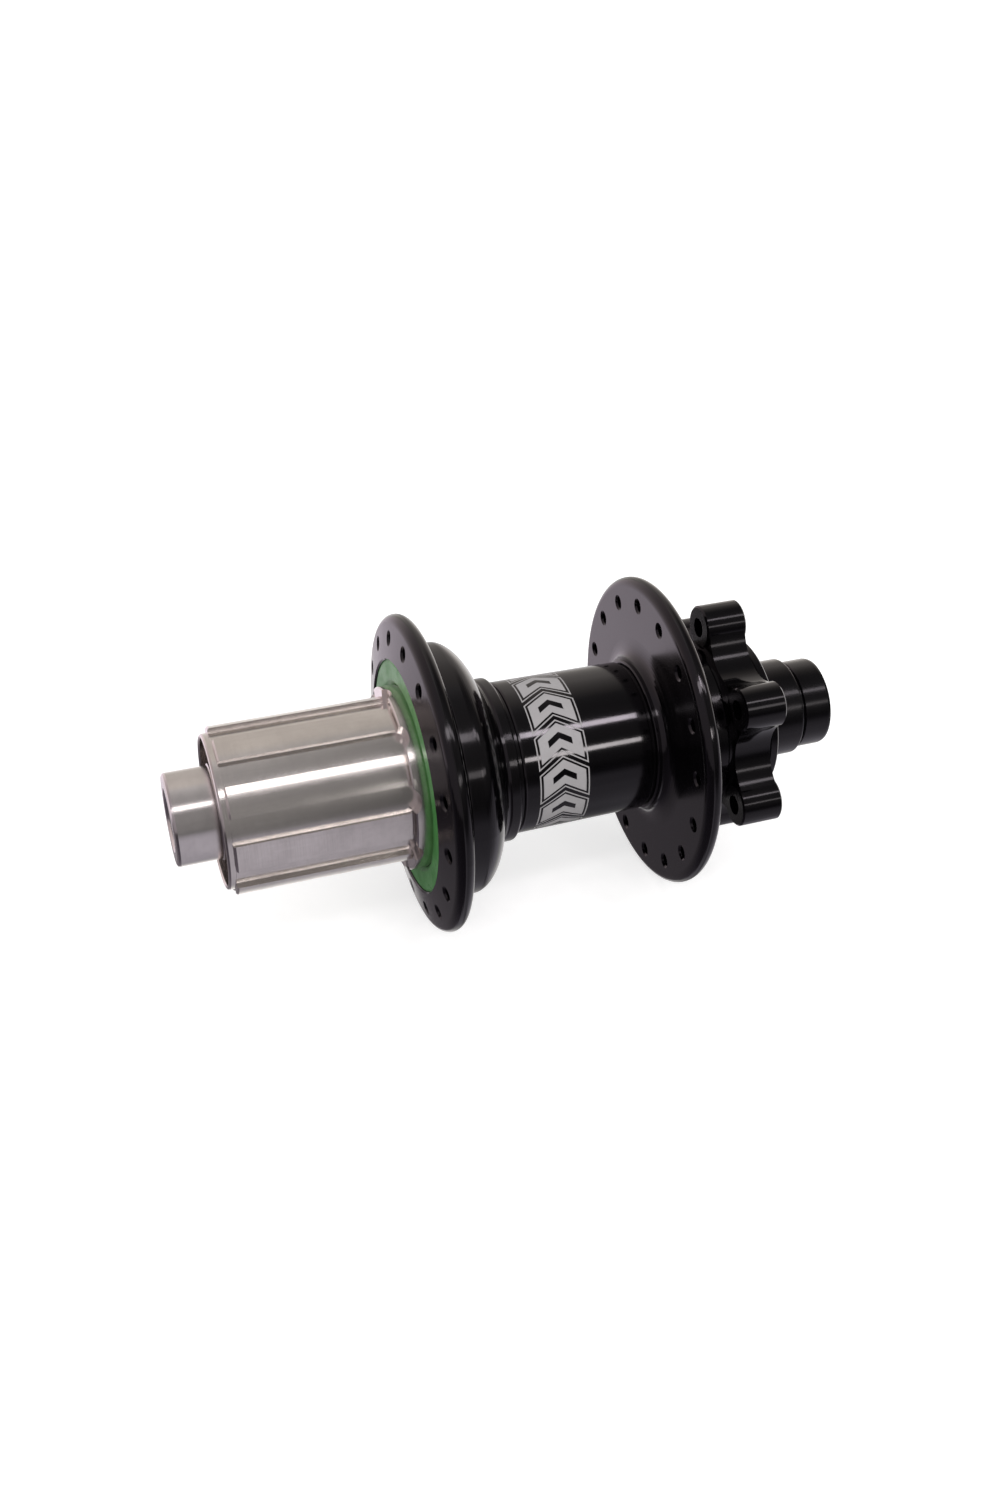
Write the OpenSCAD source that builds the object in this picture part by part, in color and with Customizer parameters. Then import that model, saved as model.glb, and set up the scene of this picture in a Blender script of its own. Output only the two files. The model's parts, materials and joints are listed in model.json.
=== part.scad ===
// Rear bicycle hub: 142 mm thru-axle, six-bolt disc mount, nine-spline freehub.
// The hub axis is Y. The freehub is on the -Y side, the brake disc on the +Y side,
// +Z is up. The origin is on the axis, half way between the two end faces.
// Every part is drawn about its own Z axis and then laid down along Y by along_y(),
// so outlines hold [radius, station along the hub axis].

/* [Hub] */
// Width over the two end caps
hub_width = 142; // [138:1:148]
// Hole for the thru-axle
axle_hole_d = 12.1; // [12:0.1:12.4]
// Diameter of the end caps where the frame holds them
end_d = 19; // [18.6:0.1:19.4]

/* [Spoke flanges] */
// Spoke holes in each flange
spoke_holes = 16; // [12:2:20]
// Diameter of a spoke hole
spoke_hole_d = 2.6; // [2.3:0.1:3]
// Spoke hole circle diameter, drive side
drive_spoke_pcd = 57.5; // [57:0.1:58]
// Spoke hole circle diameter, disc side
disc_spoke_pcd = 56.4; // [56.2:0.1:56.6]
// Outside diameter of a flange
flange_d = 66.6; // [66:0.1:68]
// Thickness of the drive side flange
drive_flange_t = 4; // [3.6:0.1:4]
// Thickness of the disc side flange
disc_flange_t = 3.8; // [3.4:0.1:4]
// Angle of the first hole in the drive side flange
drive_hole_a = 0; // [0:0.25:22]
// Angle of the first hole in the disc side flange
disc_hole_a = 11.25; // [0:0.25:22]

/* [Barrel] */
// Diameter of the barrel at the freehub end
barrel_d1 = 32.2; // [31.6:0.1:33]
// Diameter of the barrel at the disc end
barrel_d2 = 31.7; // [31.4:0.1:33]
// Diameter of the ratchet housing
housing_d = 52.9; // [52.4:0.1:53.6]

/* [Disc mount] */
// Bolt circle of the brake disc
disc_pcd = 44; // [44:0.5:45]
// Tapped hole, drilled size
disc_hole_d = 4.2; // [4:0.1:5]
// Radius of a mounting lobe
lobe_r = 4.6; // [4.4:0.1:4.8]
// Angle of the first lobe
lobe_a = 23; // [0:1:59]
// Spigot that centres the brake disc
spigot_d = 34; // [33.8:0.1:34.2]

/* [Freehub] */
// Diameter over the spline lands
spline_d = 34.2; // [33.8:0.1:34.6]
// Diameter in the spline grooves
spline_root_d = 31.8; // [31.4:0.1:32]
// Angle that one land covers
land_a = 19.5; // [18:0.5:21]
// Angle of the first land
land_a0 = 1; // [0:1:39]
// Diameter of the base ring and the pawl carrier
carrier_d = 38.2; // [38:0.1:38.2]

/* [Ratchet] */
// Teeth in the ratchet ring
ratchet_teeth = 40; // [40:4:40]
// Pawls
pawl_count = 4; // [4:1:4]
// Pawl lift from folded to engaged, in degrees: 0 is folded
pawl_lift = 0; // [0:0.1:14]

/* [Hidden] */
$fn = 96;

over = 1;   // how far a cutter runs past the face it cuts
fit = 0.01; // radial gap of a close fit

// stations along the axis, from the freehub end (negative) to the disc end (positive)
end_y = hub_width / 2;
lip_y = -62.3;        // outer end of the freehub
axle_y0 = -61.6;      // freehub end of the axle
spline_y0 = -60.8;    // outer end of the spline lands
spline_y1 = -25.7;    // inner end of the spline lands
base_y0 = -25.3;      // base ring, outer side
groove_end_y = -24;   // the grooves run a little way into the base ring
drive_face_y = -21.5; // outer face of the drive side flange
ring_y0 = -20.3;      // outer side of the ratchet ring
pawl_y0 = -19.4;      // outer side of the pawls
carrier_y1 = -11.5;   // inner end of the pawl carrier
disc_face_y = 30.2;   // inner face of the disc side flange
lobe_y0 = 43.2;       // inner end of the disc lobes
rotor_y = 52.2;       // face the brake disc sits on
axle_y1 = 54;         // disc end of the axle
shell_end_y = 54.3;   // end of the centring spigot

// bearings: width, outside radius, ball radius, number of balls,
// radial distance from the ball circle to either race land
bearing26 = [5, 13, 1.1905, 16, 0.6];  // 17 x 26 x 5, 3/32 inch balls
bearing30 = [7, 15, 1.9845, 11, 1.05]; // 17 x 30 x 7, 5/32 inch balls
width26 = bearing26[0];
width30 = bearing30[0];

// low side of each bearing
freehub_outer_y = -55.2; // bearing26
freehub_inner_y = -17;   // bearing26
drive_bearing_y = -10;   // bearing30
disc_bearing_y = 45.5;   // bearing30

// high side of each bearing
freehub_outer_y1 = freehub_outer_y + width26;
freehub_inner_y1 = freehub_inner_y + width26;
drive_bearing_y1 = drive_bearing_y + width30;
disc_bearing_y1 = disc_bearing_y + width30;

axle_r = 8.5;
axle_bore_r = 7.5;
shell_bore_r = 13.4;
seat26_r = bearing26[1] + fit;
seat30_r = bearing30[1] + fit;
carrier_r = carrier_d / 2;
disc_bolt_r = disc_pcd / 2;
ring_r = 24; // outside of the ratchet ring

silver = [0.80, 0.79, 0.77];
black = [0.06, 0.055, 0.065];
steel = [0.72, 0.73, 0.75];
green = [0.28, 0.58, 0.30];
shield_colour = [0.1, 0.1, 0.1];
drive_cap_colour = [0.78, 0.78, 0.80];
oring_colour = [0.12, 0.12, 0.12];
circlip_colour = [0.2, 0.2, 0.22];
pawl_colour = [0.55, 0.56, 0.58];
spring_colour = [0.45, 0.46, 0.5];
race_colour = [0.70, 0.71, 0.73];
ball_colour = [0.85, 0.86, 0.88];
cage_colour = [0.80, 0.74, 0.60];
seal_colour = [0.10, 0.10, 0.11];

// ---- helpers ------------------------------------------------------------

module along_y() rotate([-90, 0, 0]) children();

// count copies evenly round the axis
module ring_of(count, first = 0) for (k = [0:count - 1]) rotate(first + 360 / count * k) children();

// points on an arc between two angles
function arc(centre, radius, from, to, steps) =
    [for (i = [0:steps]) let (angle = from + (to - from) * i / steps)
        centre + radius * [cos(angle), sin(angle)]];

// points on a cubic curve with two control points, without its first point
function curve(start, control1, control2, end, steps) =
    [for (i = [1:steps]) let (t = i / steps, k = 1 - t)
        k * k * k * start + 3 * k * k * t * control1 + 3 * k * t * t * control2 + t * t * t * end];

module tube(inner_r, outer_r, z0, z1) translate([0, 0, z0]) difference() {
    cylinder(r = outer_r, h = z1 - z0);
    translate([0, 0, -over]) cylinder(r = inner_r, h = z1 - z0 + 2 * over);
}

// ---- hub shell ----------------------------------------------------------

flange_r = flange_d / 2;
drive_rim_r = drive_flange_t / 2;
disc_rim_r = disc_flange_t / 2;
drive_flange_y1 = drive_face_y + drive_flange_t;
disc_flange_y1 = disc_face_y + disc_flange_t;
housing_r = housing_d / 2;
barrel_r1 = barrel_d1 / 2;
barrel_r2 = barrel_d2 / 2;
spigot_r = spigot_d / 2;
recess_edge_r = ring_r + 0.6; // mouth of the seal recess

// the outer face of the drive flange is a cone that rises outward toward the axis
cone_a = 10;
function cone_y(radius) = drive_face_y + drive_rim_r * (1 - cos(cone_a))
    - (flange_r - drive_rim_r + drive_rim_r * sin(cone_a) - radius) * tan(cone_a);

shell_outside = concat(
    // seal recess edge and drive flange
    [[recess_edge_r, cone_y(recess_edge_r)]],
    arc([flange_r - drive_rim_r, drive_face_y + drive_rim_r], drive_rim_r, cone_a - 90, 90, 22),
    // valley between the flange and the ratchet housing
    [[26.6, drive_flange_y1]],
    curve([26.6, drive_flange_y1], [26.2, -17.42], [25.75, -17.25], [25.6, -16.95], 6),
    curve([25.6, -16.95], [25.5, -16.75], [25.6, -16.55], [25.8, -16.4], 5),
    curve([25.8, -16.4], [26.1, -16.25], [housing_r, -16.2], [housing_r, -15.85], 6),
    // ratchet housing and its round shoulder
    [[housing_r, -13.1]],
    curve([housing_r, -13.1], [housing_r - 0.05, -11.0], [23.6, -8.7], [21, -7.75], 16),
    curve([21, -7.75], [19.2, -7.2], [17.7, -6.7], [17.2, -5.5], 10),
    // bead and groove
    curve([17.2, -5.5], [17.2, -5.3], [17.3, -5.2], [17.35, -4.9], 3),
    [[17.35, -3.3]],
    curve([17.35, -3.3], [17.3, -2.9], [17.0, -2.8], [16.6, -2.75], 4),
    [[15.75, -2.6], [15.75, -1.9]],
    curve([15.75, -1.9], [16.0, -1.8], [barrel_r1, -1.7], [barrel_r1, -1.3], 4),
    // barrel, then a groove and a bead
    [[barrel_r2, 26.0], [barrel_r2 - 0.15, 26.2], [15.15, 26.3], [15.15, 26.95]],
    curve([15.15, 26.95], [15.8, 26.98], [16.1, 27.05], [16.2, 27.35], 5),
    [[16.25, 28.1]],
    curve([16.25, 28.1], [16.45, 29.2], [17.7, 30.1], [20.4, disc_face_y], 10),
    // disc flange
    arc([flange_r - disc_rim_r, disc_face_y + disc_rim_r], disc_rim_r, -90, 90, 22),
    [[26.1, disc_flange_y1]],
    curve([26.1, disc_flange_y1], [22.5, 34.1], [18.2, 34.6], [17.5, 38.4], 12),
    // centring spigot, with a shallow groove level with the rotor face
    [[17.5, 42.4], [spigot_r, lobe_y0 - 0.3],
     [spigot_r, rotor_y - 0.8], [spigot_r - 0.3, rotor_y - 0.7],
     [spigot_r - 0.3, rotor_y + 0.3], [spigot_r, rotor_y + 0.35],
     [spigot_r, shell_end_y - 0.3], [spigot_r - 0.3, shell_end_y]]);

// from the disc end back: bearing seat, bore, bearing seat, ratchet ring seat, seal recess
shell_inside = [
    [seat30_r + 0.4, shell_end_y], [seat30_r, shell_end_y - 0.4],
    [seat30_r, disc_bearing_y], [shell_bore_r, disc_bearing_y],
    [shell_bore_r, drive_bearing_y1], [seat30_r, drive_bearing_y1],
    [seat30_r, drive_bearing_y - 0.2], [seat30_r + 1.2, carrier_y1 + 0.2],
    [ring_r + 0.02, carrier_y1 + 0.2], [ring_r + 0.02, ring_y0 - 0.05],
    [ring_r + 0.3, ring_y0 - 0.05], [ring_r + 0.3, cone_y(recess_edge_r) + 0.3]];

// countersunk at both faces; tilt is the slope of the face at z0
module spoke_hole(circle_d, z0, z1, tilt = 0) {
    hole_r = spoke_hole_d / 2;
    translate([circle_d / 2, 0, z0 - over]) cylinder(r = hole_r, h = z1 - z0 + 2 * over, $fn = 32);
    translate([circle_d / 2, 0, z0]) rotate([0, -tilt, 0]) translate([0, 0, -0.3])
        cylinder(r1 = hole_r + 0.7, r2 = hole_r - 0.1, h = 0.8, $fn = 32);
    translate([circle_d / 2, 0, z1 - 0.5])
        cylinder(r1 = hole_r - 0.1, r2 = hole_r + 0.5, h = 0.6, $fn = 32);
}

lobe_count = 6;
lobe_length = rotor_y - lobe_y0;
lobe_foot = 0.35; // chamfer at the inner end of a lobe
lobe_head = 0.3;  // chamfer at the rotor face

// scallop between two lobes: a circle that just reaches both lobes and the waist
waist_r = 17.7;
scallop_centre_r = (pow(disc_bolt_r, 2) - pow(lobe_r - waist_r, 2)) /
    (2 * (disc_bolt_r * cos(180 / lobe_count) + lobe_r - waist_r));
scallop_r = scallop_centre_r - waist_r;

module disc_star() {
    // the web between the lobes stands back a little from the lobe ends
    difference() {
        translate([0, 0, lobe_y0 + 0.6])
            cylinder(r = sqrt(pow(disc_bolt_r, 2) + lobe_r * lobe_r) + 0.05, h = lobe_length - 1);
        ring_of(lobe_count, lobe_a + 180 / lobe_count)
            translate([scallop_centre_r, 0, lobe_y0 - over])
                cylinder(r = scallop_r + 0.05, h = lobe_length + 2 * over);
        translate([0, 0, lobe_y0 - over]) cylinder(r = 16, h = lobe_length + 2 * over);
    }
    ring_of(lobe_count, lobe_a) translate([disc_bolt_r, 0, lobe_y0]) {
        translate([0, 0, lobe_foot]) cylinder(r = lobe_r, h = lobe_length - lobe_foot - lobe_head);
        cylinder(r1 = lobe_r - lobe_foot, r2 = lobe_r, h = lobe_foot);
        translate([0, 0, lobe_length - lobe_head])
            cylinder(r1 = lobe_r, r2 = lobe_r - lobe_head, h = lobe_head);
    }
}

// tapped hole for the brake disc, open at both ends, countersunk at the rotor face
module disc_hole() translate([disc_bolt_r, 0, 0]) {
    hole_r = disc_hole_d / 2;
    translate([0, 0, lobe_y0 - over]) cylinder(r = hole_r, h = lobe_length + 2 * over, $fn = 48);
    translate([0, 0, rotor_y - 0.5])
        cylinder(r1 = hole_r - 0.1, r2 = hole_r + 0.5, h = 0.6, $fn = 48);
}

module hub_shell() color(black) along_y() difference() {
    union() {
        rotate_extrude($fn = 128) polygon(concat(shell_outside, shell_inside));
        disc_star();
    }
    ring_of(spoke_holes, drive_hole_a)
        spoke_hole(drive_spoke_pcd, cone_y(drive_spoke_pcd / 2), drive_flange_y1, cone_a);
    ring_of(spoke_holes, disc_hole_a) spoke_hole(disc_spoke_pcd, disc_face_y, disc_flange_y1);
    ring_of(lobe_count, lobe_a) disc_hole();
}

// ---- ratchet ring and shell seals -----------------------------------------

tooth_tip_r = 20.3;
tooth_root_r = 21.9;
first_tooth_a = 8;

function polar(radius, angle) = [radius * cos(angle), radius * sin(angle)];

// Saw teeth: each starts at its tip and climbs to the root of the next one.
function tooth(k) = let (pitch = 360 / ratchet_teeth, start = first_tooth_a + k * pitch)
    [polar(tooth_tip_r, start),
     polar(tooth_tip_r + 0.05, start + 0.9),
     polar(tooth_tip_r + 0.75, start + pitch * 0.52),
     polar(tooth_root_r, start + pitch - 0.6),
     polar(tooth_root_r, start + pitch)];

module ratchet_ring() color(steel) along_y() difference() {
    translate([0, 0, ring_y0]) cylinder(r = ring_r, h = 8.9);
    translate([0, 0, ring_y0 - 0.7]) linear_extrude(10.5)
        polygon([for (k = [0:ratchet_teeth - 1]) each tooth(k)]);
    // lead-in at the mouth
    translate([0, 0, ring_y0 - 0.01])
        cylinder(r1 = tooth_root_r + 0.5, r2 = tooth_root_r - 0.6, h = 1.1);
}

// flat lip seal that closes the gap between shell and freehub
module freehub_seal() color(green) along_y() rotate_extrude()
    polygon([[carrier_r + 0.08, -21.75], [carrier_r + 0.9, -22.34], [carrier_r + 1.3, -22.42],
             [23.7, -22.42], [24.25, -22.2], [24.25, -20.4], [22.0, -20.4], [21.5, -21.2],
             [19.9, -21.45], [carrier_r + 0.08, -21.55]]);

module disc_dust_shield() color(shield_colour) along_y() rotate_extrude()
    polygon([[10.75, 53.0], [10.95, 53.3], [14.4, 53.55], [15.0, 53.35],
             [15.0, 52.7], [14.2, 52.7], [13.8, 52.95]]);

// ---- axle, spacers and end caps -------------------------------------------

module axle() color(steel) along_y() rotate_extrude()
    polygon([[axle_bore_r, axle_y0], [axle_r - 0.3, axle_y0], [axle_r, axle_y0 + 0.3],
             [axle_r, drive_bearing_y1], [10.1, drive_bearing_y1], [10.1, -0.6], [9.3, 0.2],
             [9.3, 42.4], [10.1, 43.2], [10.1, disc_bearing_y], [axle_r, disc_bearing_y],
             [axle_r, axle_y1 - 0.3], [axle_r - 0.3, axle_y1], [axle_bore_r, axle_y1]]);

module freehub_spacer() color(steel) along_y()
    tube(axle_r + fit, 9.9, freehub_outer_y1, freehub_inner_y);

module drive_spacer() color(steel) along_y()
    tube(axle_r + fit, 10, freehub_inner_y1, drive_bearing_y);

end_r = end_d / 2;
axle_hole_r = axle_hole_d / 2;
cap_blank_r = axle_hole_r - 1;  // inside of a cap before it is bored
cap_sleeve_r = axle_r + 0.06;   // inside of the shoulder that goes over the axle
cap_spigot_r = 7.46;            // spigot inside the axle
drive_stop_y = axle_y0 - 0.2;   // cap faces, just clear of the axle ends
disc_stop_y = axle_y1 + 0.2;
drive_spigot_y = -50;           // inner ends of the spigots
disc_spigot_y = 42;
drive_oring_y = -55.4;
disc_oring_y = 48.4;
oring_r = 0.44;                 // radius of the cord
oring_groove_r = 6.55;
oring_groove_half = 0.6;        // half the width of the groove

// hole with a chamfered mouth at the -Z end
module cap_bore() {
    translate([0, 0, -end_y - over]) cylinder(r = axle_hole_r, h = 40);
    translate([0, 0, -end_y - 0.1]) cylinder(r1 = axle_hole_r + 0.6, r2 = axle_hole_r - 0.1, h = 0.7);
}

// Drive cap: plain end, a hidden shoulder against the bearing, a spigot inside the axle.
module drive_end_cap() color(drive_cap_colour) along_y() difference() {
    rotate_extrude() polygon([
        [cap_blank_r, -end_y], [end_r - 0.55, -end_y], [end_r - 0.12, -end_y + 0.25],
        [end_r, -end_y + 0.7], [end_r, -62], [9.85, drive_stop_y], [9.85, freehub_outer_y],
        [cap_sleeve_r, freehub_outer_y], [cap_sleeve_r, drive_stop_y],
        [cap_spigot_r, drive_stop_y],
        [cap_spigot_r, drive_oring_y - oring_groove_half],
        [oring_groove_r, drive_oring_y - oring_groove_half],
        [oring_groove_r, drive_oring_y + oring_groove_half],
        [cap_spigot_r, drive_oring_y + oring_groove_half],
        [cap_spigot_r, drive_spigot_y - 0.4], [cap_spigot_r - 0.4, drive_spigot_y],
        [cap_blank_r, drive_spigot_y]]);
    cap_bore();
}

// Disc cap: plain end, narrow groove, collar, a spigot inside the axle.
module disc_end_cap() color(black) along_y() difference() {
    rotate_extrude() polygon(concat(
        [[cap_blank_r, end_y], [end_r - 0.6, end_y], [end_r - 0.15, end_y - 0.25],
         [end_r, end_y - 0.8], [end_r, 64.9], [end_r - 0.25, 64.65],
         [9.05, 64.55], [9.05, 64.0], [9.5, 63.85]],
        arc([9.9, 63.25], 0.6, 90, 0, 6),
        [[10.5, 54.6], [10.4, disc_bearing_y1],
         [cap_sleeve_r, disc_bearing_y1], [cap_sleeve_r, disc_stop_y],
         [cap_spigot_r, disc_stop_y],
         [cap_spigot_r, disc_oring_y + oring_groove_half],
         [oring_groove_r, disc_oring_y + oring_groove_half],
         [oring_groove_r, disc_oring_y - oring_groove_half],
         [cap_spigot_r, disc_oring_y - oring_groove_half],
         [cap_spigot_r, disc_spigot_y + 0.4], [cap_spigot_r - 0.4, disc_spigot_y],
         [cap_blank_r, disc_spigot_y]]));
    mirror([0, 0, 1]) cap_bore();
}

// the O-rings lie flush with the spigots
module oring(y) rotate_extrude() translate([cap_spigot_r - oring_r, y]) circle(r = oring_r, $fn = 32);
module drive_cap_oring() color(oring_colour) along_y() oring(drive_oring_y);
module disc_cap_oring() color(oring_colour) along_y() oring(disc_oring_y);

// ---- pawls ------------------------------------------------------------------

pawl_pivot_r = 16.2;
pawl_fold_a = 82.75; // direction of a folded pawl, from the radius through its pivot
heel_r = 2.2;
pawl_t = 6.8;
pawl_gap = 0.1;      // gap at each side of a pawl
spring_inset = 0.8;  // the springs are narrower by this at each side

// move to the pivot of pawl k
module at_pivot(k) rotate(360 / pawl_count * k) translate([pawl_pivot_r, 0, 0]) children();

// turn +X from the pivot toward the pawl tip
module toward_tip(lift = 0) rotate(pawl_fold_a - lift) mirror([0, 1, 0]) children();

module pawl_space() {
    length = pawl_t + 2 * pawl_gap;
    translate([0, 0, pawl_y0 - pawl_gap]) cylinder(r = heel_r + 0.05, h = length, $fn = 48);
    toward_tip() translate([0, 0, pawl_y0 - pawl_gap]) linear_extrude(length)
        polygon([[0.3, -2.35], [9.4, -2.35], [10.1, -0.6], [10.3, 5], [0.3, 5]]);
}

// A pawl: round heel in the carrier, tip that catches a tooth.
module pawl(k) at_pivot(k) translate([0, 0, pawl_y0]) toward_tip(pawl_lift) {
    cylinder(r = heel_r, h = pawl_t, $fn = 48);
    linear_extrude(pawl_t) polygon([[0, -2.15], [2.2, -1.6], [6.5, -1.35], [7.95, -1.1], [9.0, 0],
        [8.2, 0.3], [5.4, 1.05], [2.2, 1.75], [0, 2.15]]);
}

module pawl_1() color(pawl_colour) along_y() pawl(0);
module pawl_2() color(pawl_colour) along_y() pawl(1);
module pawl_3() color(pawl_colour) along_y() pawl(2);
module pawl_4() color(pawl_colour) along_y() pawl(3);

// Leaf springs under the pawls, drawn pressed down.
module pawl_springs() color(spring_colour) along_y()
    for (k = [0:pawl_count - 1]) at_pivot(k) translate([0, 0, pawl_y0 + spring_inset])
        toward_tip() linear_extrude(pawl_t - 2 * spring_inset)
            polygon([[3.0, -2.33], [4.2, -2.33], [7.6, -1.5], [8.6, -1.62],
                     [8.7, -1.45], [7.55, -1.3], [4.1, -2.1], [3.0, -2.13]]);

// ---- freehub ----------------------------------------------------------------

spline_count = 9;
spline_pitch = 360 / spline_count;
spline_r = spline_d / 2;
spline_root_r = spline_root_d / 2;

// One milled groove between two lands: parallel sides, and the round end the cutter leaves.
module groove_cut() {
    half_width = spline_root_r * sin((spline_pitch - land_a) / 2);
    corner_r = min(2.5, half_width - 0.08);
    corner_x = -groove_end_y + corner_r;
    corner_y = half_width - corner_r;
    translate([12, 0, 0]) rotate([0, 90, 0]) linear_extrude(10) polygon(concat(
        [[-lip_y + 2, -half_width], [-lip_y + 2, half_width]],
        arc([corner_x, corner_y], corner_r, 90, 180, 9),
        arc([corner_x, -corner_y], corner_r, 180, 270, 9)));
}

module freehub_body() color(silver) along_y() difference() {
    rotate_extrude($fn = 128) polygon([
        // outside
        [15.4, lip_y], [15.7, lip_y + 0.15], [15.85, lip_y + 0.5], [15.85, spline_y0],
        [spline_r - 0.35, spline_y0], [spline_r, spline_y0 + 0.35],
        [spline_r, spline_y1 + 0.05], [16.35, spline_y1 + 0.15], [16.35, base_y0],
        [carrier_r - 0.25, base_y0], [carrier_r, base_y0 + 0.25],
        [carrier_r, carrier_y1 - 0.5], [carrier_r - 0.5, carrier_y1],
        // inside: bearing seat, waist, bearing seat, circlip groove, lockring thread
        [seat26_r + 0.3, carrier_y1], [seat26_r, carrier_y1 - 0.3],
        [seat26_r, freehub_inner_y], [12.1, freehub_inner_y],
        [12.1, freehub_outer_y1], [seat26_r, freehub_outer_y1],
        [seat26_r, freehub_outer_y], [13.65, freehub_outer_y],
        [13.65, freehub_outer_y - 1.1], [seat26_r, freehub_outer_y - 1.1],
        [seat26_r, freehub_outer_y - 1.6], [15.1, freehub_outer_y - 1.6], [15.1, lip_y + 0.35]]);
    // the core keeps the grooves down to the root diameter
    difference() {
        ring_of(spline_count, land_a0 + spline_pitch / 2) groove_cut();
        translate([0, 0, lip_y - 3]) cylinder(r = spline_root_r, h = 45);
    }
    for (k = [0:pawl_count - 1]) at_pivot(k) pawl_space();
}

// Internal snap ring that holds the outer bearing, open at the top, with two eyes.
circlip_y0 = freehub_outer_y - 1.05;
circlip_t = 1;
circlip_gap_a = 18;
circlip_cut_r = 16; // reach of the wedge that opens the ring
eye_angles = [-14, 14];

module freehub_circlip() color(circlip_colour) along_y() difference() {
    union() {
        tube(12.2, 13.5, circlip_y0, circlip_y0 + circlip_t);
        for (angle = eye_angles) rotate(angle - 90) translate([12.0, 0, circlip_y0])
            cylinder(r = 1.0, h = circlip_t, $fn = 32);
    }
    for (angle = eye_angles) rotate(angle - 90) translate([11.9, 0, freehub_outer_y - 2])
        cylinder(r = 0.45, h = 3, $fn = 24);
    rotate(-90) translate([0, 0, freehub_outer_y - 2]) linear_extrude(3)
        polygon([[0, 0], polar(circlip_cut_r, -circlip_gap_a / 2),
                 [circlip_cut_r * 1.03, 0], polar(circlip_cut_r, circlip_gap_a / 2)]);
}

// ---- ball bearings ----------------------------------------------------------
// y is the low side of the bearing, type is bearing26 or bearing30

function width(type) = type[0];
function outside_r(type) = type[1];
function ball_r(type) = type[2];
function ball_count(type) = type[3];
function circle_r(type) = (axle_r + outside_r(type)) / 2; // circle of ball centres
function inner_land_r(type) = circle_r(type) - type[4];
function outer_land_r(type) = circle_r(type) + type[4];
function middle(y, type) = y + width(type) / 2;

module ball_track(y, type)
    translate([circle_r(type), middle(y, type)]) circle(r = ball_r(type) + 0.06, $fn = 64);

module inner_race(y, type) rotate_extrude() difference() {
    bore_r = axle_r + fit;
    face_r = axle_r + 0.25;
    land_r = inner_land_r(type);
    y1 = y + width(type);
    polygon([[bore_r, y + 0.25], [face_r, y], [land_r, y],
             [land_r, y1], [face_r, y1], [bore_r, y1 - 0.25]]);
    ball_track(y, type);
}

module outer_race(y, type) rotate_extrude() difference() {
    rim_r = outside_r(type);
    land_r = outer_land_r(type);
    y1 = y + width(type);
    polygon([[land_r, y], [rim_r - 0.25, y], [rim_r, y + 0.25],
             [rim_r, y1 - 0.25], [rim_r - 0.25, y1], [land_r, y1]]);
    ball_track(y, type);
}

module balls(y, type, gap = 0) ring_of(ball_count(type))
    translate([circle_r(type), 0, middle(y, type)]) sphere(r = ball_r(type) + gap, $fn = 32);

module cage(y, type) difference() {
    half_t = ball_r(type) * 0.36;
    tube(circle_r(type) - half_t, circle_r(type) + half_t,
        middle(y, type) - ball_r(type) - 0.6, middle(y, type) + ball_r(type) * 0.45);
    balls(y, type, gap = 0.07);
}

module seals(y, type) {
    inset = 0.12;
    seal_t = 0.45;
    for (z = [y + inset, y + width(type) - inset - seal_t])
        tube(inner_land_r(type) + 0.12, outer_land_r(type) - 0.01, z, z + seal_t);
}

module freehub_outer_bearing_inner_race() color(race_colour) along_y() inner_race(freehub_outer_y, bearing26);
module freehub_outer_bearing_outer_race() color(race_colour) along_y() outer_race(freehub_outer_y, bearing26);
module freehub_outer_bearing_balls() color(ball_colour) along_y() balls(freehub_outer_y, bearing26);
module freehub_outer_bearing_cage() color(cage_colour) along_y() cage(freehub_outer_y, bearing26);
module freehub_outer_bearing_seals() color(seal_colour) along_y() seals(freehub_outer_y, bearing26);

module freehub_inner_bearing_inner_race() color(race_colour) along_y() inner_race(freehub_inner_y, bearing26);
module freehub_inner_bearing_outer_race() color(race_colour) along_y() outer_race(freehub_inner_y, bearing26);
module freehub_inner_bearing_balls() color(ball_colour) along_y() balls(freehub_inner_y, bearing26);
module freehub_inner_bearing_cage() color(cage_colour) along_y() cage(freehub_inner_y, bearing26);
module freehub_inner_bearing_seals() color(seal_colour) along_y() seals(freehub_inner_y, bearing26);

module drive_bearing_inner_race() color(race_colour) along_y() inner_race(drive_bearing_y, bearing30);
module drive_bearing_outer_race() color(race_colour) along_y() outer_race(drive_bearing_y, bearing30);
module drive_bearing_balls() color(ball_colour) along_y() balls(drive_bearing_y, bearing30);
module drive_bearing_cage() color(cage_colour) along_y() cage(drive_bearing_y, bearing30);
module drive_bearing_seals() color(seal_colour) along_y() seals(drive_bearing_y, bearing30);

module disc_bearing_inner_race() color(race_colour) along_y() inner_race(disc_bearing_y, bearing30);
module disc_bearing_outer_race() color(race_colour) along_y() outer_race(disc_bearing_y, bearing30);
module disc_bearing_balls() color(ball_colour) along_y() balls(disc_bearing_y, bearing30);
module disc_bearing_cage() color(cage_colour) along_y() cage(disc_bearing_y, bearing30);
module disc_bearing_seals() color(seal_colour) along_y() seals(disc_bearing_y, bearing30);

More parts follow.
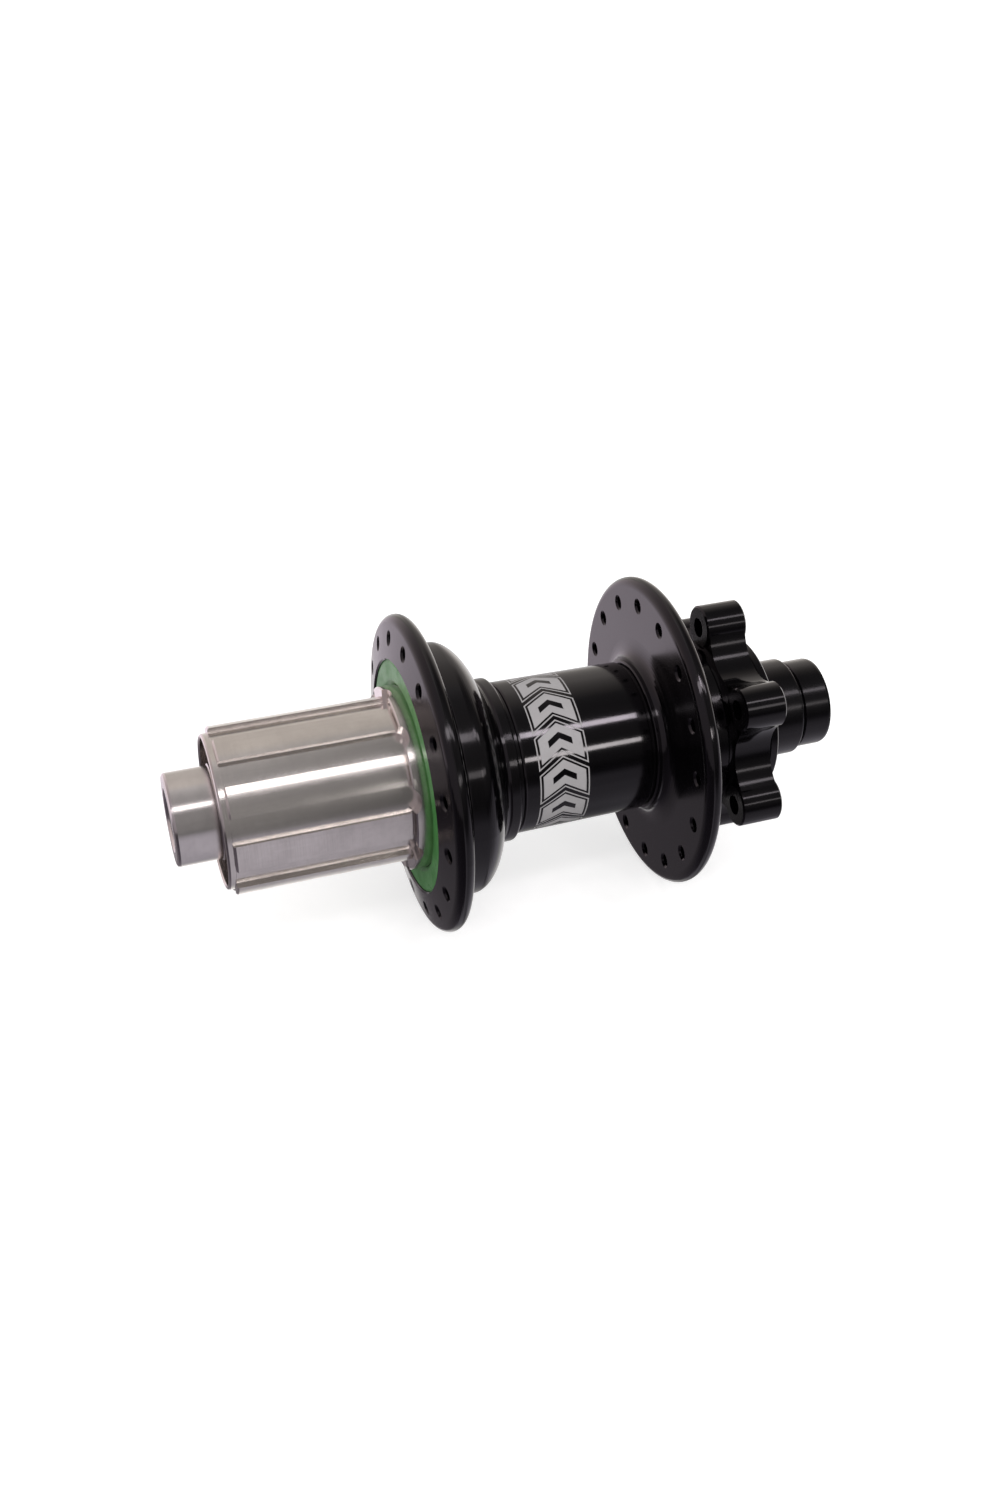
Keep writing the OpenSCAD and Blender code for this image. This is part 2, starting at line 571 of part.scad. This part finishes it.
hub_shell();
ratchet_ring();
freehub_seal();
disc_dust_shield();
axle();
freehub_spacer();
drive_spacer();
drive_end_cap();
drive_cap_oring();
disc_end_cap();
disc_cap_oring();
freehub_body();
freehub_circlip();
pawl_1();
pawl_2();
pawl_3();
pawl_4();
pawl_springs();
freehub_outer_bearing_inner_race();
freehub_outer_bearing_outer_race();
freehub_outer_bearing_balls();
freehub_outer_bearing_cage();
freehub_outer_bearing_seals();
freehub_inner_bearing_inner_race();
freehub_inner_bearing_outer_race();
freehub_inner_bearing_balls();
freehub_inner_bearing_cage();
freehub_inner_bearing_seals();
drive_bearing_inner_race();
drive_bearing_outer_race();
drive_bearing_balls();
drive_bearing_cage();
drive_bearing_seals();
disc_bearing_inner_race();
disc_bearing_outer_race();
disc_bearing_balls();
disc_bearing_cage();
disc_bearing_seals();
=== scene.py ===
"""Looks of a bicycle rear hub: materials, floor, room, lights and camera.

The hub keeps its CAD frame: metres, hub axis along Y, +Z up. The disc side is toward +Y and the
freehub side toward -Y. The camera looks from +X, above the axis. Shader coordinates are in
millimetres, and bump distances and edge radii in metres.
"""
import json
import math

import bmesh
import bpy
from mathutils import Matrix, Vector


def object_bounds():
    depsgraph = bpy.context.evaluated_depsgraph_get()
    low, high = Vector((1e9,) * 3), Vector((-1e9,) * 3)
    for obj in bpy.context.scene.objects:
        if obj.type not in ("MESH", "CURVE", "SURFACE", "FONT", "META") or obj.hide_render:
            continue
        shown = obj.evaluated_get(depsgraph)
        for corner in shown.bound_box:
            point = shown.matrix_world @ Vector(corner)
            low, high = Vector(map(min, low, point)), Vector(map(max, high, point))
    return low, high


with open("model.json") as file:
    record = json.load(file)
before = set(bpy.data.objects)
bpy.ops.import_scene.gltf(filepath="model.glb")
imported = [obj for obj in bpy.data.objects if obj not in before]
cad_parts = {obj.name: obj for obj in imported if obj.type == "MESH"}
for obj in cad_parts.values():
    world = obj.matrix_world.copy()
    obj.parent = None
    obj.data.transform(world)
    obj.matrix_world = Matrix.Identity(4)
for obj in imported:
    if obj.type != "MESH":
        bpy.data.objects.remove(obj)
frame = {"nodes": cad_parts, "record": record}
cad_low, cad_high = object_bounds()
scene = bpy.context.scene


# ------------------------------------------------------------------ node helpers
class NodeNet:
    """Builds the nodes of one material or world. Values may be numbers, colours or sockets."""

    def __init__(self, name, world=False):
        self.owner = (bpy.data.worlds if world else bpy.data.materials).new(name)
        self.owner.use_nodes = True
        self.tree = self.owner.node_tree
        self.tree.nodes.clear()

    def put(self, socket, value):
        if isinstance(value, bpy.types.NodeSocket):
            self.tree.links.new(value, socket)
        elif isinstance(value, tuple) and socket.type == "RGBA":
            socket.default_value = (*value, 1.0)
        else:
            socket.default_value = value

    def node(self, kind, inputs=None, **settings):
        """Adds a node; inputs maps a socket's index or name to its value."""
        new = self.tree.nodes.new("ShaderNode" + kind)
        for key, value in settings.items():
            setattr(new, key, value)
        for key, value in (inputs or {}).items():
            self.put(new.inputs[key], value)
        return new

    def math(self, operation, first, second=0.0, clamp=False):
        inputs = {0: first, 1: second, 2: 0.0}
        return self.node("Math", inputs, operation=operation, use_clamp=clamp).outputs[0]

    def add(self, first, second):
        return self.math("ADD", first, second)

    def sub(self, first, second, clamp=False):
        return self.math("SUBTRACT", first, second, clamp)

    def mul(self, first, second):
        return self.math("MULTIPLY", first, second)

    def mix(self, factor, first, second, blend="MIX"):
        inputs = {0: factor, 6: first, 7: second}
        mixer = self.node("Mix", inputs, data_type="RGBA", blend_type=blend, clamp_factor=True)
        return mixer.outputs[2]

    def mix_float(self, factor, first, second):
        inputs = {0: factor, 2: first, 3: second}
        return self.node("Mix", inputs, data_type="FLOAT", clamp_factor=True).outputs[0]

    def span(self, value, source, target=(0.0, 1.0), smooth=True):
        """Maps the source range onto the target range, clamped at both ends."""
        inputs = dict(enumerate((value, *source, *target)))
        kind = "SMOOTHSTEP" if smooth else "LINEAR"
        return self.node("MapRange", inputs, interpolation_type=kind, clamp=True).outputs[0]

    def band(self, value, low, high, soft=0.05):
        """1 between low and high, 0 outside, fading over soft to each side of a limit."""
        rise = self.span(value, (low - soft, low + soft))
        fall = self.span(value, (high - soft, high + soft), (1.0, 0.0))
        return self.mul(rise, fall)

    def noise(self, vector, scale, detail=2.0, rough=0.6):
        inputs = {"Vector": vector, "Scale": scale, "Detail": detail, "Roughness": rough}
        return self.node("TexNoise", inputs).outputs["Fac"]

    def join(self, x, y, z):
        return self.node("CombineXYZ", {0: x, 1: y, 2: z}).outputs[0]

    def split(self, vector):
        return self.node("SeparateXYZ", {0: vector}).outputs

    def scaled(self, vector, factor):
        inputs = {0: vector, "Scale": factor}
        return self.node("VectorMath", inputs, operation="SCALE").outputs[0]

    def coords(self):
        """Object coordinates in mm: y, distance from the axis, angle round it, whole point."""
        point = self.scaled(self.node("TexCoord").outputs["Object"], 1000.0)
        x, y, z = self.split(point)
        radius = self.math("SQRT", self.add(self.mul(x, x), self.mul(z, z)))
        angle = self.math("ARCTAN2", x, z)
        return y, radius, angle, point

    def bump(self, height, distance, strength, normal=None):
        inputs = {"Strength": strength, "Distance": distance, "Height": height}
        if normal is not None:
            inputs["Normal"] = normal
        return self.node("Bump", inputs).outputs[0]

    def soft_edges(self, radius):
        """Rounds the light on every edge by this radius, as a deburred edge has."""
        return self.node("Bevel", {"Radius": radius}, samples=6).outputs[0]

    def emission(self, colour, strength):
        return self.node("Emission", {0: colour, 1: strength}).outputs[0]

    def principled(self, **inputs):
        named = {key.replace("_", " "): value for key, value in inputs.items()}
        self.node("OutputMaterial", {0: self.node("BsdfPrincipled", named).outputs[0]})
        return self.owner


def dimmed(colour, factor):
    return tuple(channel * factor for channel in colour)


def lathe_lines(net, radius, y, angle, pitch=0.16, drift=0.25):
    """Circular tool marks: noise that varies along and away from the axis, slowly round it."""
    vector = net.join(net.mul(radius, 1.0 / pitch), net.mul(y, 1.0 / pitch),
                      net.mul(angle, drift))
    return net.noise(vector, scale=1.0, detail=3.0)


# ------------------------------------------------------------------ etched chevrons, mm
ETCH_RADIUS = 16.0               # turns angle into length round the barrel
ETCH_FADE = (17.2, 17.4)         # the etching fades out between these radii
ETCH_ARC = (-36.0, 131.0)        # degrees from straight up toward +X
BAND_Y = (1.4, 12.1)
CHEVRON_PITCH = 7.6
CHEVRON_PHASE = 44.0
CHEVRON_SLOPE = 0.62             # lag round the barrel per mm from the band's middle
CHEVRON = (0.3, 7.0)             # start and end of a chevron within one pitch
LINE = 0.26                      # outline width along Y
# insets from the chevron's edges: round the barrel, along Y
INNER_INSET = (LINE * 1.2, LINE)
CORE_INSET = (0.8, 0.75)
SLOT_INSET = (2.65, 2.8)


def chevron_mask(net, y, radius, angle, grain):
    """Outlined chevrons, each filled by a core with a slot in its middle."""
    around = net.mul(angle, ETCH_RADIUS)
    side = net.math("ABSOLUTE", net.sub(y, sum(BAND_Y) / 2))
    shifted = net.add(net.sub(around, net.mul(side, CHEVRON_SLOPE)), CHEVRON_PHASE)
    turns = net.math("FRACT", net.mul(shifted, 1.0 / CHEVRON_PITCH))
    place = net.mul(turns, CHEVRON_PITCH)

    def patch(inset):
        around_inset, y_inset = inset
        return net.mul(net.band(place, CHEVRON[0] + around_inset, CHEVRON[1] - around_inset),
                       net.band(y, BAND_Y[0] + y_inset, BAND_Y[1] - y_inset))

    strip = net.band(y, *BAND_Y)
    body = net.band(place, *CHEVRON)
    outline = net.mul(net.sub(body, patch(INNER_INSET), clamp=True), strip)
    core = net.sub(patch(CORE_INSET), patch(SLOT_INSET), clamp=True)
    mask = net.math("MAXIMUM", outline, core)
    degrees = net.mul(angle, 180.0 / math.pi)
    mask = net.mul(mask, net.band(degrees, *ETCH_ARC, soft=0.6))
    mask = net.mul(mask, net.span(radius, ETCH_FADE, (1.0, 0.0)))
    # the grain breaks up the fill
    return net.mul(mask, net.span(grain, (0.2, 0.45), (0.78, 1.0)))


# ------------------------------------------------------------------ materials
def black_anodised(name, rough, satin=0.0, etched=False):
    """Turned and black anodised; satin adds roughness all over."""
    net = NodeNet(name)
    y, radius, angle, point = net.coords()
    lines = lathe_lines(net, radius, y, angle)
    cloud = net.noise(point, scale=0.09, detail=3.0, rough=0.55)
    grain = net.noise(point, scale=6.0)
    colour = net.mix(cloud, (0.0010, 0.0009, 0.0013), (0.0022, 0.0019, 0.0027))
    # roughness drifts with the cloud and flickers with the grain
    roughness = net.add(net.span(cloud, (0.3, 0.75), (rough - 0.015, rough + 0.03)),
                        net.span(grain, (0.35, 0.7), (-0.010, 0.014)))
    roughness = net.add(roughness, satin)
    # faces square to the axis blur what they mirror more than the barrel does
    normal_y = net.split(net.node("TexCoord").outputs["Normal"])[1]
    face = net.span(net.math("ABSOLUTE", normal_y), (0.90, 0.98))
    roughness = net.add(roughness, net.mul(face, 0.10))
    normal = net.bump(lines, distance=2.6e-6, strength=0.5, normal=net.soft_edges(5e-5))
    normal = net.bump(grain, distance=1.4e-6, strength=0.3, normal=normal)
    if etched:
        mask = chevron_mask(net, y, radius, angle, grain)
        # pale grey, rougher marks
        colour = net.mix(mask, colour, (0.46, 0.45, 0.455))
        roughness = net.mix_float(mask, roughness, 0.5)
    return net.principled(Base_Color=colour, Roughness=roughness, IOR=1.52, Normal=normal,
                          Specular_Tint=(1.0, 0.95, 1.0), Specular_IOR_Level=0.55)


def bright_alloy(name, colour, rough, line_depth, axial=0.0, spread=0.1, pitch=0.16, edge=5e-5):
    """Turned aluminium; axial above 0 is the depth of added lengthwise milling marks."""
    net = NodeNet(name)
    y, radius, angle, point = net.coords()
    lines = lathe_lines(net, radius, y, angle, pitch, drift=0.05)
    cloud = net.noise(point, scale=0.16, detail=3.0)
    grain = net.noise(point, scale=9.0)
    # cloudy darkening, then darker tool marks
    tone = net.mix(net.span(cloud, (0.3, 0.7)), colour, dimmed(colour, 0.92))
    tone = net.mix(net.span(lines, (0.45, 0.75), (0.0, 0.22)), tone, dimmed(colour, 0.80))
    clouded = net.span(cloud, (0.25, 0.75), (rough - spread / 2, rough + spread / 2))
    roughness = net.add(clouded, net.span(lines, (0.3, 0.75), (-0.02, 0.03)))
    normal = net.bump(lines, distance=line_depth, strength=0.8, normal=net.soft_edges(edge))
    if axial:
        # noise that varies fast round the axis and hardly along it
        stretch = net.join(net.mul(angle, 60.0), net.mul(y, 0.05), net.mul(radius, 2.0))
        mill = net.noise(stretch, scale=1.0, rough=0.55)
        normal = net.bump(mill, distance=axial, strength=0.8, normal=normal)
        tone = net.mix(net.span(mill, (0.45, 0.8), (0.0, 0.20)), tone, dimmed(colour, 0.78))
    normal = net.bump(grain, distance=1e-6, strength=0.4, normal=normal)
    return net.principled(Base_Color=tone, Metallic=1.0, Roughness=roughness, Normal=normal)


def ground_steel(name, colour, rough, line_depth=4e-6):
    """Steel with fine circular grinding marks and slow clouds."""
    net = NodeNet(name)
    y, radius, angle, point = net.coords()
    lines = lathe_lines(net, radius, y, angle, pitch=0.12)
    cloud = net.noise(point, scale=0.5, detail=3.0)
    tone = net.mix(cloud, dimmed(colour, 0.82), colour)
    # roughness follows the cloud and the grinding marks
    roughness = net.add(net.span(cloud, (0.3, 0.7), (rough - 0.05, rough + 0.08)),
                        net.span(lines, (0.3, 0.7), (-0.03, 0.04)))
    normal = net.bump(lines, distance=line_depth, strength=0.7)
    return net.principled(Base_Color=tone, Metallic=1.0, Roughness=roughness, Normal=normal)


def moulded(name, colour, rough, grain_depth, second=None, specular=0.5):
    """Rubber or plastic with a faint pebble, drift to a second colour and rub marks."""
    net = NodeNet(name)
    y, radius, angle, point = net.coords()
    cloud = net.noise(point, scale=0.22, detail=4.0)
    pebble = net.noise(point, scale=3.2, detail=3.0, rough=0.55)
    rubs = lathe_lines(net, radius, y, angle, pitch=0.5, drift=0.6)
    tone = net.mix(net.span(cloud, (0.3, 0.7)), colour, second or dimmed(colour, 0.78))
    # rub marks are paler
    tone = net.mix(net.span(rubs, (0.58, 0.8), (0.0, 0.3)), tone, dimmed(colour, 1.25))
    roughness = net.add(net.span(cloud, (0.3, 0.7), (rough - 0.06, rough + 0.08)),
                        net.span(pebble, (0.3, 0.7), (-0.04, 0.05)))
    normal = net.bump(pebble, distance=grain_depth, strength=0.6)
    return net.principled(Base_Color=tone, Roughness=roughness, Normal=normal, IOR=1.5,
                          Specular_IOR_Level=specular)


MATERIALS = {
    "shell_anodised": black_anodised("hub_black_anodised", rough=0.10, etched=True),
    "cap_anodised": black_anodised("cap_black_anodised", rough=0.14, satin=0.03),
    "silver_cap": bright_alloy("cap_clear_anodised", (0.83, 0.785, 0.765), rough=0.185,
                               line_depth=1e-6, spread=0.03, pitch=0.10),
    "freehub_alloy": bright_alloy("freehub_bright_alloy", (0.865, 0.815, 0.778), rough=0.195,
                                  line_depth=1.2e-6, axial=4e-6, spread=0.05, edge=6e-5),
    "axle_alloy": bright_alloy("axle_alloy_turned", (0.80, 0.77, 0.75), rough=0.26,
                               line_depth=3e-6),
    "green_seal": moulded("seal_green", (0.085, 0.335, 0.080), rough=0.34, grain_depth=6e-6,
                          second=(0.068, 0.280, 0.064), specular=0.35),
    "black_rubber": moulded("rubber_black", (0.018, 0.018, 0.019), rough=0.42,
                            grain_depth=1e-5, second=(0.030, 0.029, 0.030)),
    "tool_steel": ground_steel("ratchet_tool_steel", (0.50, 0.49, 0.49), rough=0.27),
    "spring_steel": ground_steel("spring_blued_steel", (0.20, 0.21, 0.25), rough=0.30),
    "race_steel": ground_steel("race_ground_steel", (0.66, 0.66, 0.67), rough=0.20,
                               line_depth=3e-6),
    "ball_steel": ground_steel("ball_polished_steel", (0.78, 0.79, 0.80), rough=0.06,
                               line_depth=5e-7),
    "cage_nylon": moulded("cage_nylon", (0.52, 0.42, 0.25), rough=0.42, grain_depth=1e-5),
}


def finish_of(node):
    """The record's material slot a CAD node takes."""
    for part in frame["record"]["subparts"]:
        if part.get("node") == node or part.get("name") == node:
            return part.get("material_slot") or part.get("slot") or part.get("material")


for name, obj in frame["nodes"].items():
    material = MATERIALS[finish_of(name)]
    if not obj.data.materials:
        obj.data.materials.append(material)
    for slot in obj.material_slots:
        slot.material = material

# ------------------------------------------------------------------ mirrored room
WARM, PLAIN, COOL = (1.0, 0.935, 0.875), (1.0, 0.975, 0.97), (1.0, 0.955, 1.06)

# What mirrors see round the hub. Each ring: the ray's lean toward +Y, then (degrees round the
# axis, brightness), with 0 straight up and 90 toward +X.
RINGS = [
    (0.07, [
        (-180, 0.37), (-165, 0.33), (-155, 0.52), (-145, 0.98), (-135, 1.18), (-125, 1.20),
        (-115, 1.12), (-105, 0.86), (-95, 0.64), (-85, 0.50), (-55, 0.52), (-25, 0.60),
        (-15, 0.55), (-5, 0.46), (5, 0.38), (15, 0.32), (45, 0.20), (55, 0.24), (75, 0.22),
        (85, 0.24), (95, 0.18), (103, 0.38), (112, 0.45), (145, 0.44), (165, 0.41), (180, 0.37)]),
    (0.14, [
        (-180, 0.38), (-165, 0.36), (-155, 0.55), (-145, 0.98), (-135, 1.18), (-125, 1.22),
        (-115, 1.16), (-105, 1.00), (-95, 0.86), (-85, 0.74), (-72, 0.58), (-55, 0.46),
        (-25, 0.50), (-15, 0.40), (-5, 0.28), (5, 0.26), (15, 0.25), (45, 0.20), (55, 0.20),
        (75, 0.16), (85, 0.16), (95, 0.16), (103, 0.42), (112, 0.48), (145, 0.45), (165, 0.40),
        (180, 0.38)]),
    (0.235, [
        (-180, 0.30), (-165, 0.34), (-155, 0.40), (-145, 0.46), (-135, 0.62), (-125, 0.62),
        (-115, 0.58), (-105, 0.52), (-95, 0.46), (-85, 0.44), (-55, 0.60), (-45, 0.54),
        (-35, 0.48), (-25, 0.42), (-15, 0.33), (-5, 0.20), (5, 0.185), (15, 0.18), (45, 0.13),
        (55, 0.10), (75, 0.08), (85, 0.06), (95, 0.06), (105, 0.12), (112, 0.25), (145, 0.30),
        (165, 0.32), (180, 0.30)]),
    (0.33, [
        (-180, 0.16), (-165, 0.15), (-155, 0.16), (-145, 0.34), (-135, 0.62), (-125, 0.84),
        (-105, 0.90), (-95, 0.76), (-85, 0.60), (-75, 0.60), (-55, 0.68), (-45, 0.57),
        (-35, 0.46), (-25, 0.32), (-15, 0.15), (-5, 0.12), (5, 0.10), (15, 0.12), (45, 0.11),
        (55, 0.10), (75, 0.09), (85, 0.07), (95, 0.03), (103, 0.05), (112, 0.26), (145, 0.28),
        (165, 0.28), (180, 0.16)]),
    (0.47, [
        (-180, 0.56), (-165, 0.58), (-155, 0.62), (-145, 0.80), (-125, 1.20), (-115, 1.30),
        (-95, 1.25), (-85, 0.90), (-75, 0.66), (-55, 0.58), (-45, 0.38), (-35, 0.23),
        (-25, 0.15), (-15, 0.10), (-5, 0.10), (5, 0.12), (15, 0.14), (45, 0.13), (55, 0.12),
        (75, 0.10), (85, 0.08), (95, 0.04), (103, 0.05), (112, 0.18), (122, 0.30), (145, 0.34),
        (165, 0.44), (180, 0.56)]),
]
# the same (degrees, brightness) for rays leaning toward -Y, the freehub side
FREEHUB_SIDE = [
    (-180, 0.60), (-150, 0.90), (-115, 1.0), (-90, 0.80), (-50, 0.55), (-20, 0.42),
    (10, 0.34), (60, 0.30), (95, 0.26), (120, 0.34), (180, 0.50)]
FREEHUB_BLEND = (-0.07, 0.03)    # leans over which that side gives way to the rings


def tint_at(degrees):
    if -100 <= degrees <= -20:
        return WARM
    if degrees >= 100 or degrees <= -160:
        return COOL
    return PLAIN


def ramp_of(net, turn, stops):
    ramp = net.node("ValToRGB", {0: turn})
    elements = ramp.color_ramp.elements
    while len(elements) > 1:
        elements.remove(elements[-1])
    for index, (degrees, brightness) in enumerate(stops):
        position = (degrees + 180) / 360
        stop = elements.new(position) if index else elements[0]
        stop.position = position
        stop.color = (*dimmed(tint_at(degrees), brightness), 1)
    return ramp.outputs[0]


def surroundings(net, direction, shade=None):
    """Colour of the room in one direction; shade, a painted shadow, darkens what lies toward the
    freehub side.
    """
    x, lean, z = net.split(direction)
    angle = net.math("ARCTAN2", x, z)
    turn = net.span(angle, (-math.pi, math.pi), smooth=False)
    colour = ramp_of(net, turn, RINGS[0][1])
    for (start, _), (end, stops) in zip(RINGS, RINGS[1:]):
        blend = net.span(lean, (start, end), smooth=False)
        colour = net.mix(blend, colour, ramp_of(net, turn, stops))
    away = ramp_of(net, turn, FREEHUB_SIDE)
    # a faint violet cast
    cast = (1.0, 0.93, 1.01)
    if shade is not None:
        cast = net.join(shade, net.mul(shade, 0.915), net.mul(shade, 1.02))
    tinted = net.mix(1.0, away, cast, blend="MULTIPLY")
    return net.mix(net.span(lean, FREEHUB_BLEND), tinted, colour)


# ------------------------------------------------------------------ floor and world
FLOOR_GAP = 0.00003              # below the hub's lowest point
FLOOR_HALF_SIZE = 4.0
FLOOR_LIFT = 0.62                # glow added for the camera alone
# mirrored table top with a painted shadow under the hub: x (m) where the painted shade starts and
# ends, and the brightness at each
SHADE_X, SHADE_RANGE = (-0.022, -0.085), (0.19, 1.0)


def floor_material():
    """White paper to the camera and to soft light; to mirrors it glows as part of the room, with
    a painted shadow under the hub.
    """
    net = NodeNet("floor_white_paper")
    rays = net.node("LightPath").outputs
    fleck = net.noise(net.node("TexCoord").outputs["Object"], scale=180.0, detail=3.0)
    paper = net.node("BsdfDiffuse", {
        "Color": net.mix(net.span(fleck, (0.3, 0.7)), (0.80, 0.80, 0.80), (0.83, 0.83, 0.83)),
        "Roughness": net.span(fleck, (0.3, 0.7), (0.6, 0.9)),
        "Normal": net.bump(fleck, distance=0.00004, strength=0.2)})
    lift = net.emission((1.0, 1.0, 1.0), net.mul(rays["Is Camera Ray"], FLOOR_LIFT))
    lifted = net.node("AddShader", {0: paper.outputs[0], 1: lift})
    hit = net.node("NewGeometry").outputs
    direction = net.scaled(hit["Incoming"], -1.0)
    # painted shadow: reflections see the floor darker under and in front of the hub, set by its x
    # position
    shade = net.span(net.split(hit["Position"])[0], SHADE_X, SHADE_RANGE)
    mirrored = net.emission(surroundings(net, direction, shade), 1.0)
    pick = net.node("MixShader", {0: rays["Is Glossy Ray"], 1: lifted.outputs[0], 2: mirrored})
    net.node("OutputMaterial", {0: pick.outputs[0]})
    return net.owner


def make_floor():
    grid = bmesh.new()
    bmesh.ops.create_grid(grid, x_segments=40, y_segments=40, size=FLOOR_HALF_SIZE)
    mesh = bpy.data.meshes.new("studio_floor")
    grid.to_mesh(mesh)
    grid.free()
    floor = bpy.data.objects.new("studio_floor", mesh)
    floor.location = (0, 0, cad_low.z - FLOOR_GAP)
    scene.collection.objects.link(floor)
    mesh.materials.append(floor_material())


def make_world():
    """White to the camera, even pale grey to diffuse rays, the room to mirrors."""
    net = NodeNet("studio_world", world=True)
    room = surroundings(net, net.node("TexCoord").outputs["Generated"])
    rays = net.node("LightPath").outputs
    colour = net.mix(rays["Is Camera Ray"], room, (1.0, 1.0, 1.0))
    colour = net.mix(rays["Is Diffuse Ray"], colour, (0.76, 0.75, 0.745))
    background = net.node("Background", {"Color": colour, "Strength": 1.0})
    net.node("OutputWorld", {0: background.outputs[0]})
    scene.world = net.owner


make_floor()
make_world()

# ------------------------------------------------------------------ lights and camera
SOFTBOX_DISTANCE = 1.0
UPPER_TINT = (1.0, 0.965, 0.985)
FRONT_TINT = (1.0, 0.975, 0.95)
# two rows along the hub, brightest over the barrel: name, degrees from straight up toward +X,
# width, start and end along Y, radiance, colour
SOFTBOXES = [
    ("softbox_upper_a", 32.0, 0.130, -0.55, 0.245, 3.3, UPPER_TINT),
    ("softbox_upper_b", 28.4, 0.128, 0.292, 0.425, 11.5, (1.0, 0.945, 0.995)),
    ("softbox_upper_c", 29.2, 0.128, 0.445, 1.20, 2.3, UPPER_TINT),
    ("softbox_front_a", 64.9, 0.095, 0.195, 0.26, 1.5, FRONT_TINT),
    ("softbox_front_b", 64.9, 0.105, 0.292, 0.425, 10.5, (1.0, 0.975, 0.94)),
    ("softbox_front_c", 64.9, 0.100, 0.445, 1.10, 1.4, FRONT_TINT),
]
CAMERA_PLACE = Vector((0.253539, -0.087057, 0.179160))
CAMERA_RIGHT = Vector((0.31887, 0.94780, -0.00062))
CAMERA_UP = Vector((-0.52305, 0.17652, 0.83382))
CAMERA_BACK = Vector((0.79040, -0.26556, 0.55204))


def add_aimed(name, data, right, up, back, place):
    """Adds an object that looks against back."""
    aimed = bpy.data.objects.new(name, data)
    matrix = Matrix((right, up, back)).transposed().to_4x4()
    matrix.translation = place
    aimed.matrix_world = matrix
    scene.collection.objects.link(aimed)
    return aimed


def add_softbox(name, degrees, width, start, end, radiance, colour):
    """A long soft box parallel to the hub, facing its axis."""
    light = bpy.data.lights.new(name, "AREA")
    light.shape = "RECTANGLE"
    light.size = width
    light.size_y = end - start
    # radiance of an area light is power / (pi * area)
    light.energy = radiance * math.pi * width * (end - start)
    light.color = colour
    angle = math.radians(degrees)
    back = Vector((math.sin(angle), 0, math.cos(angle)))
    up = Vector((0, 1, 0))
    place = back * SOFTBOX_DISTANCE + Vector((0, (start + end) / 2, 0))
    add_aimed(name, light, up.cross(back), up, back, place)


for softbox in SOFTBOXES:
    add_softbox(*softbox)

lens = bpy.data.cameras.new("camera")
lens.lens = 36.84
lens.sensor_width = 36.0
lens.clip_start = 0.005
lens.clip_end = 50.0
scene.camera = add_aimed("camera", lens, CAMERA_RIGHT, CAMERA_UP, CAMERA_BACK, CAMERA_PLACE)

scene.view_settings.view_transform = "Standard"
scene.view_settings.look = "None"
scene.view_settings.exposure = 0.0
scene.view_settings.gamma = 1.0
